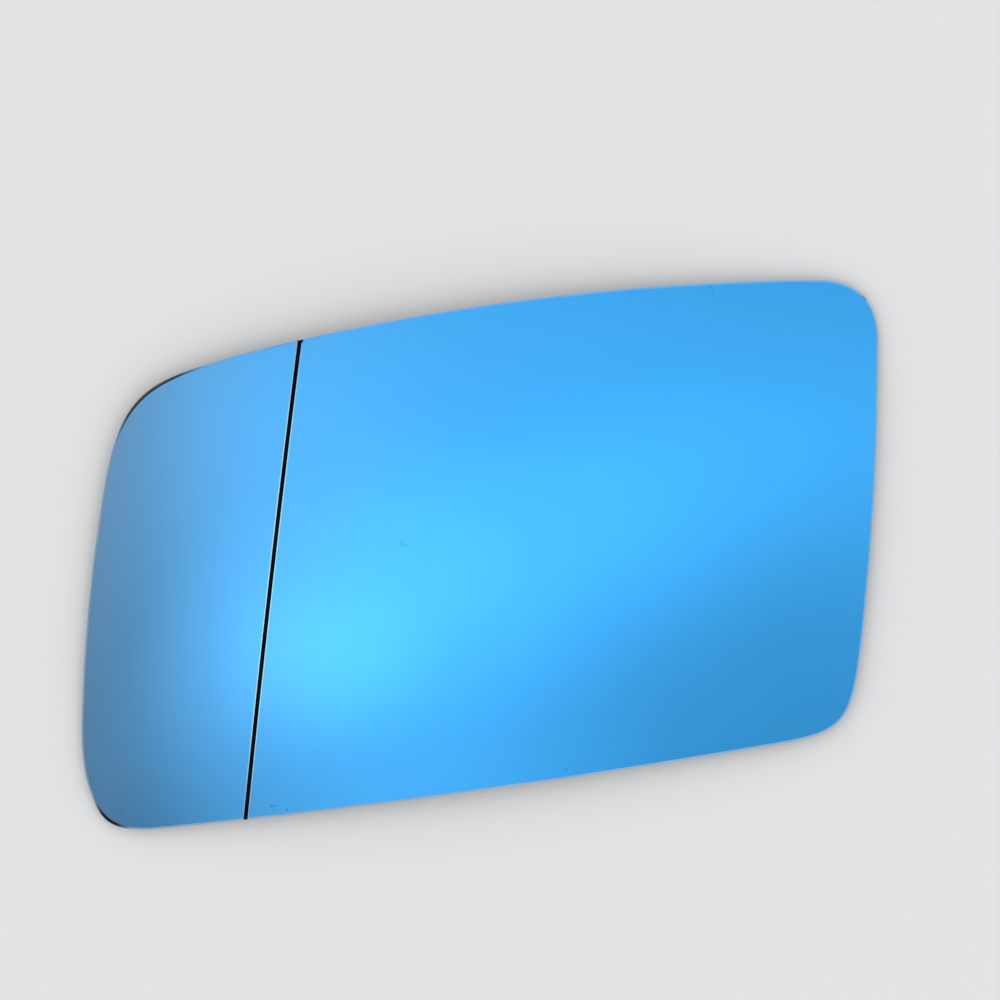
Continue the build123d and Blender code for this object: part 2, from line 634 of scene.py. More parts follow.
@dataclass(frozen=True)
class EtchedLip:
    """Float glass laid bare by etching: a misty hairline on each side of the ink. Its pale blue is a painted
    highlight, palest at mid-length beside the brightest part of the mirror.
    """

    pale: str = "#B6FAFF"
    dull: str = "#70A5D8"
    highlight_run: SoftSpot = SoftSpot((-46.6, -5.0), (62.0, 62.0), 0.0, 1.0)
    pale_patches: Patches = Patches(9.0, detail=3.0, values=(0.75, 1.0), shown=(0.3, 0.7))
    ior: float = 1.52

    # Grain of the etching, drawn coarser than it is so that it shows
    roughness: Patches = Patches(0.12, detail=2.0, values=(0.32, 0.52))
    grain: Relief = Relief(0.12, detail=2.0, height_mm=0.006)

    ink: EtchedBlack = EtchedBlack()
    marks: WearMarks = WearMarks()

    def material(self) -> bpy.types.Material:
        """Makes the lips' material, covered by the run of ink at the line's upper end.

        Returns:
            The material.
        """
        material, tree, place = new_material("float_glass_etched_bare")
        flat = in_plan(tree, place)
        # Painted highlight: the lips are palest at mid-length, where the mirror beside them is brightest
        patches = {0: self.highlight_run.add(tree, flat), 1: self.pale_patches.add(tree, place)}
        painted_highlight = add_node(tree, "ShaderNodeMath", patches, operation="MULTIPLY")
        tones = {"Factor": painted_highlight, "A": linear(self.dull), "B": linear(self.pale)}
        bare = add_node(tree, "ShaderNodeMix", tones, data_type="RGBA")
        tones = {"Factor": self.marks.ink_run.add(tree, flat), "A": bare, "B": linear(self.ink.black)}
        finish = {
            "Base Color": add_node(tree, "ShaderNodeMix", tones, data_type="RGBA"),
            "Roughness": self.roughness.add(tree, place),
            "IOR": self.ior,
            "Normal": self.grain.add(tree, place),
        }
        shader = add_node(tree, "ShaderNodeBsdfPrincipled", finish)
        add_node(tree, "ShaderNodeOutputMaterial", {"Surface": shader})
        return material


@dataclass(frozen=True)
class SealingLacquer:
    """Dark lacquer sprayed on the back and round the edge: satin, with orange peel and grey overspray."""

    dark: str = "#2B2A2A"
    warm: str = "#3A3531"
    spray: str = "#56534F"
    warm_patches: Patches = Patches(30.0, detail=3.0)
    roughness: Patches = Patches(30.0, detail=3.0, values=(0.32, 0.44))
    orange_peel: Relief = Relief(1.6, detail=1.0, height_mm=0.012)

    # Dots of overspray, drawn coarser than they are so that they show
    spray_dots: Patches = Patches(0.5, detail=2.0, values=(0.0, 0.5), shown=(0.62, 0.72))

    def material(self) -> bpy.types.Material:
        """Makes the lacquer's material.

        Returns:
            The material.
        """
        material, tree, place = new_material("dark_mirror_lacquer_sprayed")
        warmth = self.warm_patches.add(tree, place)
        tones = {"Factor": warmth, "A": linear(self.dark), "B": linear(self.warm)}
        clouded = add_node(tree, "ShaderNodeMix", tones, data_type="RGBA")
        tones = {"Factor": self.spray_dots.add(tree, place), "A": clouded, "B": linear(self.spray)}
        finish = {
            "Base Color": add_node(tree, "ShaderNodeMix", tones, data_type="RGBA"),
            "Roughness": self.roughness.add(tree, place),
            "Normal": self.orange_peel.add(tree, place),
        }
        shader = add_node(tree, "ShaderNodeBsdfPrincipled", finish)
        add_node(tree, "ShaderNodeOutputMaterial", {"Surface": shader})
        return material


@dataclass(frozen=True)
class BowedSide:
    """One whole side of the outline: an arc from corner point to corner point, bowed outwards."""

    start: Vector
    end: Vector
    bow: float

    @property
    def radius(self) -> float:
        """The arc's radius."""
        return ((self.end - self.start).length ** 2 / 4 + self.bow**2) / (2 * self.bow)

    @property
    def length(self) -> float:
        """The length along the arc."""
        return 4 * self.radius * math.atan(2 * self.bow / (self.end - self.start).length)

    def at(self, run: float) -> tuple[Vector, Vector]:
        """Finds a place on the side.

        Args:
            run: The way along the arc from its start.

        Returns:
            The point there and the direction of travel.
        """
        chord = (self.end - self.start).normalized()
        outward = Vector((chord.y, -chord.x))
        turn = (run - self.length / 2) / self.radius
        middle = (self.start + self.end) / 2 - outward * (self.radius - self.bow)
        point = middle + (chord * math.sin(turn) + outward * math.cos(turn)) * self.radius
        return point, chord * math.cos(turn) - outward * math.sin(turn)


@dataclass(frozen=True)
class SoftCorner:
    """A soft corner: the runs it takes out of the sides it joins, and how far it fills the sharp corner."""

    leaving_run: float
    joining_run: float
    fill: float


@dataclass(frozen=True)
class GlassOutline:
    """The outline in plan, from the low outer corner point and counter-clockwise."""

    base_length: float = 174.8
    base_rise_deg: float = 7.8
    inner_height: float = 101.8
    inner_lean_deg: float = 3.5
    outer_height: float = 101.8
    outer_lean_deg: float = 5.4
    base_bow: float = 1.8
    inner_bow: float = 2.1
    top_bow: float = 6.7
    outer_bow: float = 3.5
    low_outer: tuple[float, float] = (-89.65, -63.434)
    low_inner_corner: SoftCorner = SoftCorner(16.0, 20.1, 0.90)
    high_inner_corner: SoftCorner = SoftCorner(13.6, 13.5, 0.66)
    high_outer_corner: SoftCorner = SoftCorner(33.2, 21.8, 0.84)
    low_outer_corner: SoftCorner = SoftCorner(26.7, 16.4, 0.72)
    curve_steps: int = 96

    @property
    def base_way(self) -> Vector:
        """The direction of the base, towards the car."""
        rise = math.radians(self.base_rise_deg)
        return Vector((math.cos(rise), math.sin(rise)))

    def corner_points(self) -> list[Vector]:
        """Works out the sharp corner points.

        Returns:
            The low outer, low inner, high inner and high outer corner point.
        """
        inner = math.radians(self.inner_lean_deg)
        outer = math.radians(self.outer_lean_deg)
        low_outer = Vector(self.low_outer)
        low_inner = low_outer + self.base_way * self.base_length
        high_inner = low_inner + Vector((math.sin(inner), math.cos(inner))) * self.inner_height
        high_outer = low_outer + Vector((math.sin(outer), math.cos(outer))) * self.outer_height
        return [low_outer, low_inner, high_inner, high_outer]

    def curve(self) -> bpy.types.Curve:
        """Draws the outline in metres.

        Returns:
            One closed Bezier curve, with a segment for each side and each corner.
        """
        points = self.corner_points()
        bows = (self.base_bow, self.inner_bow, self.top_bow, self.outer_bow)
        sides = [BowedSide(points[i], points[(i + 1) % 4], bow) for i, bow in enumerate(bows)]
        inner_corners = (self.low_inner_corner, self.high_inner_corner)
        corners = (*inner_corners, self.high_outer_corner, self.low_outer_corner)
        curve = bpy.data.curves.new("glass_outline", "CURVE")
        curve.dimensions = "3D"
        curve.resolution_u = self.curve_steps
        spline = curve.splines.new("BEZIER")
        spline.use_cyclic_u = True
        spline.bezier_points.add(2 * len(sides) - 1)
        for i, side in enumerate(sides):
            before, after = corners[i - 1], corners[i]
            first, last = before.joining_run, side.length - after.leaving_run
            turn = (last - first) / side.radius
            side_handle = side.radius * 4 / 3 * math.tan(turn / 4)
            ends = (
                (first, before.joining_run * before.fill, side_handle),
                (last, side_handle, after.leaving_run * after.fill),
            )
            for knot, (run, back, ahead) in zip(spline.bezier_points[2 * i : 2 * i + 2], ends):
                place, direction = side.at(run)
                knot.handle_left_type = "FREE"
                knot.handle_right_type = "FREE"
                knot.co = (place * MM).to_3d()
                knot.handle_left = ((place - direction * back) * MM).to_3d()
                knot.handle_right = ((place + direction * ahead) * MM).to_3d()
        return curve


@dataclass(frozen=True)
class GlassBend:
    """The bend of the front.

    The main zone is part of a sphere. Past the dividing line the curvature grows evenly, up to the outer
    radius at the glass's edge.
    """

    outline: GlassOutline = GlassOutline()
    main_radius: float = 1260.0
    outer_radius: float = 250.0
    top_outward: float = 7.0
    top_upward: float = 5.8
    line_along_base: float = 37.0
    line_lean_deg: float = 6.5

    @property
    def across(self) -> Vector:
        """The direction square to the dividing line, towards the car."""
        lean = math.radians(self.line_lean_deg)
        return Vector((math.cos(lean), -math.sin(lean), 0))

    @property
    def bend_top(self) -> Vector:
        """The place in plan where the glass is level, in metres."""
        middle = sum(self.outline.corner_points(), Vector((0, 0))) / 4
        return ((middle + Vector((-self.top_outward, self.top_upward))) * MM).to_3d()

    @property
    def line_foot(self) -> Vector:
        """The dividing line's place on the base, in metres."""
        foot = Vector(self.outline.low_outer) + self.outline.base_way * self.line_along_base
        return (foot * MM).to_3d()

    @property
    def zone_width(self) -> float:
        """The outer zone's greatest width."""
        return self.line_along_base + self.outline.outer_bow

    @property
    def growth(self) -> float:
        """How fast the curvature grows across the outer zone, per square metre."""
        return (1 / self.outer_radius - 1 / self.main_radius) / self.zone_width / MM**2

    def inputs(self) -> Inputs:
        """Gives the trees' inputs for the bend, in metres.

        Returns:
            The kind and value of each input, by name.
        """
        return {
            "Main Radius": ("Float", self.main_radius * MM),
            "Bend Growth": ("Float", self.growth),
            "Bend Top": ("Vector", self.bend_top),
            "Across": ("Vector", self.across),
            "Line Distance": ("Float", (self.bend_top - self.line_foot).dot(self.across)),
        }

    def bend_tree(self) -> Tree:
        """Makes the tree that bends what is laid out in plan, with the top of the bend at no height.

        Returns:
            The tree.
        """
        inputs = {"Flat": "Geometry", **kinds(self.inputs())}
        tree, give = new_tree("glass_bend", inputs, {"Bent": "Geometry"})
        plan = in_plan(tree, add_node(tree, "GeometryNodeInputPosition"))
        away = add_node(tree, "ShaderNodeVectorMath", {0: plan, 1: give["Bend Top"]}, operation="SUBTRACT")

        # A face deep in the glass has that much less radius. What carries no depth bends with the front
        depth = add_node(tree, "GeometryNodeInputNamedAttribute", {"Name": EDGE_DEPTH}, data_type="FLOAT")
        radius = add_node(tree, "ShaderNodeMath", {0: give["Main Radius"], 1: depth}, operation="SUBTRACT")

        # Drop of the sphere, written so that it keeps its last digits near the top
        square = add_node(tree, "ShaderNodeVectorMath", {0: away, 1: away}, operation="DOT_PRODUCT")
        radius_square = add_node(tree, "ShaderNodeMath", {0: radius, 1: radius}, operation="MULTIPLY")
        upright_square = add_node(tree, "ShaderNodeMath", {0: radius_square, 1: square}, operation="SUBTRACT")
        upright = add_node(tree, "ShaderNodeMath", {0: upright_square}, operation="SQRT")
        both = add_node(tree, "ShaderNodeMath", {0: upright, 1: radius}, operation="ADD")
        sphere_drop = add_node(tree, "ShaderNodeMath", {0: square, 1: both}, operation="DIVIDE")

        # Further drop past the dividing line, a cubic because the curvature grows evenly
        along = add_node(tree, "ShaderNodeVectorMath", {0: away, 1: give["Across"]}, operation="DOT_PRODUCT")
        outward = add_node(tree, "ShaderNodeMath", {0: along, 1: -1.0}, operation="MULTIPLY")
        ends = {0: outward, 1: give["Line Distance"]}
        beyond = add_node(tree, "ShaderNodeMath", ends, operation="SUBTRACT")
        past = add_node(tree, "ShaderNodeMath", {0: beyond, 1: 0.0}, operation="MAXIMUM")
        cube = add_node(tree, "ShaderNodeMath", {0: past, 1: 3.0}, operation="POWER")
        sixth = add_node(tree, "ShaderNodeMath", {0: give["Bend Growth"], 1: 6.0}, operation="DIVIDE")
        drop = add_node(tree, "ShaderNodeMath", {0: cube, 1: sixth, 2: sphere_drop}, operation="MULTIPLY_ADD")
        below = add_node(tree, "ShaderNodeMath", {0: drop, 1: depth}, operation="ADD")
        height = add_node(tree, "ShaderNodeMath", {0: below, 1: -1.0}, operation="MULTIPLY")
        offset = add_node(tree, "ShaderNodeCombineXYZ", {"Z": height})
        bent = add_node(tree, "GeometryNodeSetPosition", {"Geometry": give["Flat"], "Offset": offset})
        add_node(tree, "NodeGroupOutput", {"Bent": bent})
        return tree


@dataclass(frozen=True)
class DividingLine:
    """The etched line between the zones.

    An inked floor, a hair wider than the solid's groove, lies between two narrow bare lips. The line bows a
    little, with its ends towards the car.
    """

    width: float = 0.94
    depth: float = 0.1
    lip: float = 0.2
    bow: float = 0.29
    bow_span: float = 105.0
    length: float = 150.0
    steps: int = 61

    def inputs(self, bend: GlassBend) -> Inputs:
        """Gives the trees' inputs for the line, in metres.

        Args:
            bend: The bend that the line lies in.

        Returns:
            The kind and value of each input, by name.
        """
        along = Vector((-bend.across.y, bend.across.x, 0))
        return {
            "Line Width": ("Float", self.width * MM),
            "Line Depth": ("Float", self.depth * MM),
            "Line Lip": ("Float", self.lip * MM),
            "Line Bow": ("Float", self.bow * MM),
            "Bow Span": ("Float", self.bow_span * MM),
            "Line Length": ("Float", self.length * MM),
            "Line Steps": ("Int", self.steps),
            "Line Middle": ("Vector", bend.line_foot + along * self.bow_span / 2 * MM),
            "Line Turn": ("Rotation", (0.0, 0.0, -math.radians(bend.line_lean_deg))),
        }

    def bow_tree(self) -> Tree:
        """Makes the tree that gives the line's bow, a parabola, at a way along it from its middle.

        Returns:
            The tree.
        """
        inputs = {"Along": "Float", "Line Bow": "Float", "Bow Span": "Float"}
        tree, give = new_tree("line_bow", inputs, {"Bow": "Float"})
        half = add_node(tree, "ShaderNodeMath", {0: give["Bow Span"], 1: 2.0}, operation="DIVIDE")
        share = add_node(tree, "ShaderNodeMath", {0: give["Along"], 1: half}, operation="DIVIDE")
        square = add_node(tree, "ShaderNodeMath", {0: share, 1: share}, operation="MULTIPLY")
        bow = add_node(tree, "ShaderNodeMath", {0: square, 1: give["Line Bow"]}, operation="MULTIPLY")
        add_node(tree, "NodeGroupOutput", {"Bow": bow})
        return tree

    def offset_tree(self, bow_tree: Tree) -> Tree:
        """Makes the tree that gives how far outwards of the bowed line a plan point is.

        Args:
            bow_tree: The tree that gives the line's bow.

        Returns:
            The tree.
        """
        inputs = {"Plan": "Vector", "Across": "Vector", "Line Middle": "Vector"}
        inputs |= {"Line Bow": "Float", "Bow Span": "Float"}
        tree, give = new_tree("line_offset", inputs, {"Offset": "Float"})
        ends = {0: give["Plan"], 1: give["Line Middle"]}
        away = add_node(tree, "ShaderNodeVectorMath", ends, operation="SUBTRACT")
        inward = add_node(tree, "ShaderNodeVectorMath", {0: away, 1: give["Across"]}, operation="DOT_PRODUCT")
        axes = {0: (0, 0, 1), 1: give["Across"]}
        line_way = add_node(tree, "ShaderNodeVectorMath", axes, operation="CROSS_PRODUCT")
        along = add_node(tree, "ShaderNodeVectorMath", {0: away, 1: line_way}, operation="DOT_PRODUCT")
        links = {"Along": along, **picked(give, ("Line Bow", "Bow Span"))}
        bow = add_node(tree, "GeometryNodeGroup", links, node_tree=bow_tree)
        offset = add_node(tree, "ShaderNodeMath", {0: bow, 1: inward}, operation="SUBTRACT")
        add_node(tree, "NodeGroupOutput", {"Offset": offset})
        return tree


@dataclass(frozen=True)
class Band:
    """One band of the sheet's skin: its film, its rows of points, and four values at its start and end.

    These are the share of the way out, the inset, the depth in the glass, and the share of a bead's height.
    """

    film: Film
    rows: int
    share: tuple[float, float]
    inset: tuple[float, float]
    depth: tuple[float, float]
    bead: tuple[float, float]

    def inputs(self) -> Inputs:
        """Gives the band tree's inputs for this band, in metres.

        Returns:
            The kind and value of each input, by name.
        """
        inputs = {"Film": ("Int", self.film.number), "Rows": ("Int", self.rows)}
        shares = (("Share", self.share, 1.0), ("Bead", self.bead, 1.0))
        lengths = (("Inset", self.inset, MM), ("Depth", self.depth, MM))
        for name, (start, end), unit in shares + lengths:
            inputs[f"Start {name}"] = ("Float", start * unit)
            inputs[f"End {name}"] = ("Float", end * unit)
        return inputs


@dataclass
class MirrorGlass:
    """The bent sheet of glass, with its coat, ground edge, dividing line and lacquer."""

    bend: GlassBend = GlassBend()
    line: DividingLine = DividingLine()
    thickness: float = 2.0
    arris: float = 0.4
    trim: float = 0.005
    weld: float = 0.006
    bead_face_share: float = 0.42
    columns: int = 540
    rings: int = 44
    edge_rows: int = 2
    sharp_deg: float = 14.0
    coat: BlueChromeCoat = BlueChromeCoat()
    coated_arris: CoatedArris = CoatedArris()
    lip: EtchedLip = EtchedLip()
    ink: EtchedBlack = EtchedBlack()
    lacquer: SealingLacquer = SealingLacquer()

    def bands(self) -> list[Band]:
        """Lists the skin's bands.

        Returns:
            The bands from the middle of the back, round the edge and to the middle of the front.
        """
        back, arris, wall = self.thickness, self.arris, self.trim
        rings, rows = self.rings, self.edge_rows
        face = wall + arris
        low = self.bead_face_share
        return [
            Band(Film.LACQUER, rings, (0, 1), (face, face), (back, back), (low, low)),
            Band(Film.LACQUER, rows, (1, 1), (face, wall), (back, back - arris), (low, 1)),
            Band(Film.LACQUER, rows, (1, 1), (wall, wall), (back - arris, arris), (1, 1)),
            Band(Film.ARRIS, rows, (1, 1), (wall, face), (arris, 0), (1, low)),
            Band(Film.COAT, rings, (1, 0), (face, face), (0, 0), (low, low)),
        ]

    def bead_inputs(self) -> Inputs:
        """Gives the tree's inputs for all beads of lacquer."""
        places = self.coated_arris.crept_places
        return {name: given for place in places for name, given in place.inputs().items()}

    def inputs(self) -> Inputs:
        """Gives the sheet tree's inputs, in metres, and makes the materials among them.

        Returns:
            The kind and value of each input, by name.
        """
        zone_width = self.bend.zone_width
        materials = {
            Film.COAT: self.coat.material(zone_width),
            Film.ARRIS: self.coated_arris.material(zone_width, self.line.width, self.arris),
            Film.LIP: self.lip.material(),
            Film.LINE: self.ink.material(),
            Film.LACQUER: self.lacquer.material(),
        }
        return {
            "Columns": ("Int", self.columns + 1),
            "Weld": ("Float", self.weld * MM),
            "Sharp Angle": ("Float", math.radians(self.sharp_deg)),
            **self.bend.inputs(),
            **self.line.inputs(self.bend),
            **self.bead_inputs(),
            **{film.value: ("Material", material) for film, material in materials.items()},
        }

    def band_tree(self) -> Tree:
        """Makes the tree that lays one band of the skin out in plan, with its depth and film as attributes.

        Returns:
            The tree.
        """
        inputs = {"Outline": "Geometry", "Columns": "Int", "Middle": "Vector"}
        inputs |= kinds(self.bands()[0].inputs()) | kinds(self.bead_inputs())
        tree, give = new_tree("skin_band", inputs, {"Band": "Geometry"})
        size = {"Size X": 1.0, "Size Y": 1.0, "Vertices X": give["Columns"], "Vertices Y": give["Rows"]}
        grid = add_node(tree, "GeometryNodeMeshGrid", size)

        # The grid lies about its middle. With half added it runs from 0 to 1, round the rim and over the band
        centred = add_node(tree, "ShaderNodeSeparateXYZ", {0: add_node(tree, "GeometryNodeInputPosition")})
        around = add_node(tree, "ShaderNodeMath", {0: centred.outputs["X"], 1: 0.5}, operation="ADD")
        run = add_node(tree, "ShaderNodeMath", {0: centred.outputs["Y"], 1: 0.5}, operation="ADD")
        values = []
        for name in ("Share", "Inset", "Depth", "Bead"):
            limits = {"Value": run, "To Min": give[f"Start {name}"], "To Max": give[f"End {name}"]}
            values.append(add_node(tree, "ShaderNodeMapRange", limits))
        share, inset, depth, bead = values
        path = {"Curves": give["Outline"], "Factor": around}
        rim = add_node(tree, "GeometryNodeSampleCurve", path, mode="FACTOR")
        axes = {0: (0, 0, 1), 1: rim.outputs["Tangent"]}
        inward = add_node(tree, "ShaderNodeVectorMath", axes, operation="CROSS_PRODUCT")

        # Beads of lacquer push the edge out
        for crept in self.coated_arris.crept_places:
            ends = {0: rim.outputs["Position"], 1: give[f"{crept.name} Middle"]}
            limits = {
                "Value": add_node(tree, "ShaderNodeVectorMath", ends, operation="DISTANCE"),
                "From Max": give[f"{crept.name} Reach"],
                "To Min": give[f"{crept.name} Height"],
                "To Max": 0.0,
            }
            height = add_node(tree, "ShaderNodeMapRange", limits, interpolation_type="SMOOTHSTEP")
            raised = add_node(tree, "ShaderNodeMath", {0: height, 1: bead}, operation="MULTIPLY")
            inset = add_node(tree, "ShaderNodeMath", {0: inset, 1: raised}, operation="SUBTRACT")
        inset_rim = {0: inward, 1: inset, 2: rim.outputs["Position"]}
        edge = add_node(tree, "ShaderNodeVectorMath", inset_rim, operation="MULTIPLY_ADD")
        out = add_node(tree, "ShaderNodeVectorMath", {0: edge, 1: give["Middle"]}, operation="SUBTRACT")
        spread = {0: out, 1: share, 2: give["Middle"]}
        plan = add_node(tree, "ShaderNodeVectorMath", spread, operation="MULTIPLY_ADD")
        depths = {"Geometry": grid, "Name": EDGE_DEPTH, "Value": depth}
        deep = add_node(tree, "GeometryNodeStoreNamedAttribute", depths, data_type="FLOAT", domain="POINT")
        films = {"Geometry": deep, "Name": FILM, "Value": give["Film"]}
        filmed = add_node(tree, "GeometryNodeStoreNamedAttribute", films, data_type="INT", domain="FACE")
        laid = add_node(tree, "GeometryNodeSetPosition", {"Geometry": filmed, "Position": plan})
        add_node(tree, "NodeGroupOutput", {"Band": laid})
        return tree

    def cutter_tree(self, bend_tree: Tree, bow_tree: Tree) -> Tree:
        """Makes the tree of the cutter that etches the dividing line, bent as the front is.

        Args:
            bend_tree: The tree that bends what is laid out in plan.
            bow_tree: The tree that gives the line's bow.

        Returns:
            The tree.
        """
        inputs = kinds(self.line.inputs(self.bend) | self.bend.inputs())
        tree, give = new_tree("line_cutter", inputs, {"Cutter": "Geometry"})
        tall = add_node(tree, "ShaderNodeMath", {0: give["Line Depth"], 1: 2.0}, operation="MULTIPLY")
        sizes = {"X": give["Line Width"], "Y": give["Line Length"], "Z": tall}
        size = add_node(tree, "ShaderNodeCombineXYZ", sizes)
        points = {"Vertices X": 2, "Vertices Y": give["Line Steps"], "Vertices Z": 2}
        bar = add_node(tree, "GeometryNodeMeshCube", {"Size": size, **points})

        # Its level faces cut the line's floor, and its upright ones the lips
        normal = add_node(tree, "ShaderNodeSeparateXYZ", {0: add_node(tree, "GeometryNodeInputNormal")})
        upright = add_node(tree, "ShaderNodeMath", {0: normal.outputs["Z"]}, operation="ABSOLUTE")
        side = add_node(tree, "ShaderNodeMath", {0: upright, 1: 0.5}, operation="LESS_THAN")
        numbers = {"Value": side, "To Min": float(Film.LINE.number), "To Max": float(Film.LIP.number)}
        films = {"Geometry": bar, "Name": FILM, "Value": add_node(tree, "ShaderNodeMapRange", numbers)}
        filmed = add_node(tree, "GeometryNodeStoreNamedAttribute", films, data_type="INT", domain="FACE")

        # The upper half leans out, so that the lips slope, and the whole bar bows
        place = add_node(tree, "ShaderNodeSeparateXYZ", {0: add_node(tree, "GeometryNodeInputPosition")})
        which = add_node(tree, "ShaderNodeMath", {0: place.outputs["X"]}, operation="SIGN")
        upper = add_node(tree, "ShaderNodeMath", {0: place.outputs["Z"], 1: 0.0}, operation="GREATER_THAN")
        lean = add_node(tree, "ShaderNodeMath", {0: give["Line Lip"], 1: 2.0}, operation="MULTIPLY")
        signed = add_node(tree, "ShaderNodeMath", {0: which, 1: upper}, operation="MULTIPLY")
        links = {"Along": place.outputs["Y"], **picked(give, ("Line Bow", "Bow Span"))}
        bow = add_node(tree, "GeometryNodeGroup", links, node_tree=bow_tree)
        sideways = add_node(tree, "ShaderNodeMath", {0: signed, 1: lean, 2: bow}, operation="MULTIPLY_ADD")
        shift = add_node(tree, "ShaderNodeCombineXYZ", {"X": sideways})
        flared = add_node(tree, "GeometryNodeSetPosition", {"Geometry": filmed, "Offset": shift})
        pose = {"Geometry": flared, "Translation": give["Line Middle"], "Rotation": give["Line Turn"]}
        placed = add_node(tree, "GeometryNodeTransform", pose)
        links = {"Flat": placed, **picked(give, self.bend.inputs())}
        bent = add_node(tree, "GeometryNodeGroup", links, node_tree=bend_tree)
        add_node(tree, "NodeGroupOutput", {"Cutter": bent})
        return tree

    def skin(self, tree: Tree, give: Outputs, bend_tree: Tree) -> Node:
        """Adds the closed skin of the bent sheet.

        Args:
            tree: The sheet's tree.
            give: The sockets that give its inputs.
            bend_tree: The tree that bends what is laid out in plan.

        Returns:
            The node that gives the skin.
        """
        band_tree = self.band_tree()
        shared = {"Middle": give["Bend Top"], **picked(give, ("Outline", "Columns", *self.bead_inputs()))}
        laid = []
        for band in self.bands():
            values = {name: value for name, (_, value) in band.inputs().items()}
            laid.append(add_node(tree, "GeometryNodeGroup", shared | values, node_tree=band_tree))
        joined = add_node(tree, "GeometryNodeJoinGeometry", {"Geometry": laid})
        links = {"Flat": joined, **picked(give, self.bend.inputs())}
        bent = add_node(tree, "GeometryNodeGroup", links, node_tree=bend_tree)
        return add_node(tree, "GeometryNodeMergeByDistance", {"Geometry": bent, "Distance": give["Weld"]})

    def etched(self, tree: Tree, give: Outputs, skin: Node, cutter_tree: Tree) -> Node:
        """Adds the etching of the dividing line, and the shading that keeps the edges crisp.

        Args:
            tree: The sheet's tree.
            give: The sockets that give its inputs.
            skin: The node that gives the closed skin.
            cutter_tree: The tree of the cutter.

        Returns:
            The node that gives the etched sheet, smooth but for the arris, the wall and the line.
        """
        links = picked(give, self.line.inputs(self.bend) | self.bend.inputs())
        cutter = add_node(tree, "GeometryNodeGroup", links, node_tree=cutter_tree)
        meshes = {"Mesh 1": skin, "Mesh 2": cutter}
        cut = add_node(tree, "GeometryNodeMeshBoolean", meshes, operation="DIFFERENCE", solver="EXACT")
        welded = add_node(tree, "GeometryNodeMergeByDistance", {"Geometry": cut, "Distance": give["Weld"]})
        faces = {"Geometry": welded, "Shade Smooth": True}
        smooth = add_node(tree, "GeometryNodeSetShadeSmooth", faces, domain="FACE")
        angle = add_node(tree, "GeometryNodeInputMeshEdgeAngle").outputs["Unsigned Angle"]
        sharp = add_node(tree, "ShaderNodeMath", {0: angle, 1: give["Sharp Angle"]}, operation="GREATER_THAN")
        edges = {"Geometry": smooth, "Selection": sharp, "Shade Smooth": False}
        return add_node(tree, "GeometryNodeSetShadeSmooth", edges, domain="EDGE")

    def sheet_tree(self, inputs: dict[str, str]) -> Tree:
        """Makes the tree of the whole sheet: skin laid out, bent, closed, etched and given its materials.

        Args:
            inputs: The kind of socket for each input, by name.

        Returns:
            The tree.
        """
        tree, give = new_tree("mirror_glass_sheet", {"Outline": "Geometry", **inputs}, {"Sheet": "Geometry"})
        bend_tree = self.bend.bend_tree()
        bow_tree = self.line.bow_tree()
        skin = self.skin(tree, give, bend_tree)
        etched = self.etched(tree, give, skin, self.cutter_tree(bend_tree, bow_tree))

        # How far each point is from the line, for the coat's colour
        line_links = picked(give, ("Across", "Line Middle", "Line Bow", "Bow Span"))
        links = {"Plan": add_node(tree, "GeometryNodeInputPosition"), **line_links}
        offset = add_node(tree, "GeometryNodeGroup", links, node_tree=self.line.offset_tree(bow_tree))
        offsets = {"Geometry": etched, "Name": LINE_OFFSET, "Value": offset}
        measured = add_node(
            tree, "GeometryNodeStoreNamedAttribute", offsets, data_type="FLOAT", domain="POINT"
        )
        dressed = add_node(tree, "GeometryNodeRealizeInstances", {"Geometry": measured})
        on_face = add_node(tree, "GeometryNodeInputNamedAttribute", {"Name": FILM}, data_type="INT")
        for film in Film:
            sides = {"A": on_face, "B": film.number}
            chosen = add_node(tree, "FunctionNodeCompare", sides, data_type="INT", operation="EQUAL")
            faces = {"Geometry": dressed, "Selection": chosen, "Material": give[film.value]}
            dressed = add_node(tree, "GeometryNodeSetMaterial", faces)
        add_node(tree, "NodeGroupOutput", {"Sheet": dressed})
        return tree

    def build(self, node: str) -> bpy.types.Object:
        """Builds the sheet as a plain mesh in the place of its solid.

        Args:
            node: The name of the solid that the sheet stands for.

        Returns:
            The piece.
        """
        inputs = self.inputs()
        curve = self.bend.outline.curve()
        host = bpy.data.objects.new("glass_outline", curve)
        bpy.context.scene.collection.objects.link(host)
        modifier = host.modifiers.new("sheet", "NODES")
        modifier.node_group = self.sheet_tree(kinds(inputs))
        for item in modifier.node_group.interface.items_tree:
            if item.in_out == "INPUT" and item.name in inputs:
                modifier[item.identifier] = inputs[item.name][1]
        depsgraph = bpy.context.evaluated_depsgraph_get()
        mesh = bpy.data.meshes.new_from_object(
            host.evaluated_get(depsgraph), preserve_all_data_layers=True, depsgraph=depsgraph
        )

        # The outline's object goes, and its modifier with it
        bpy.data.objects.remove(host)
        bpy.data.curves.remove(curve)
        self.clean(mesh)
        self.place(mesh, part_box(node))
        piece = bpy.data.objects.new("bent_mirror_glass", mesh)
        mesh.name = piece.name
        bpy.context.scene.collection.objects.link(piece)
        return piece

    @staticmethod
    def clean(mesh: bpy.types.Mesh) -> None:
        """Takes the tree's own attribute and its empty material slot off the mesh.

        Args:
            mesh: The sheet, as the tree leaves it.
        """
        mesh.attributes.remove(mesh.attributes[FILM])
        for slot in reversed(range(len(mesh.materials))):
            if mesh.materials[slot] is None:
                mesh.materials.pop(index=slot)

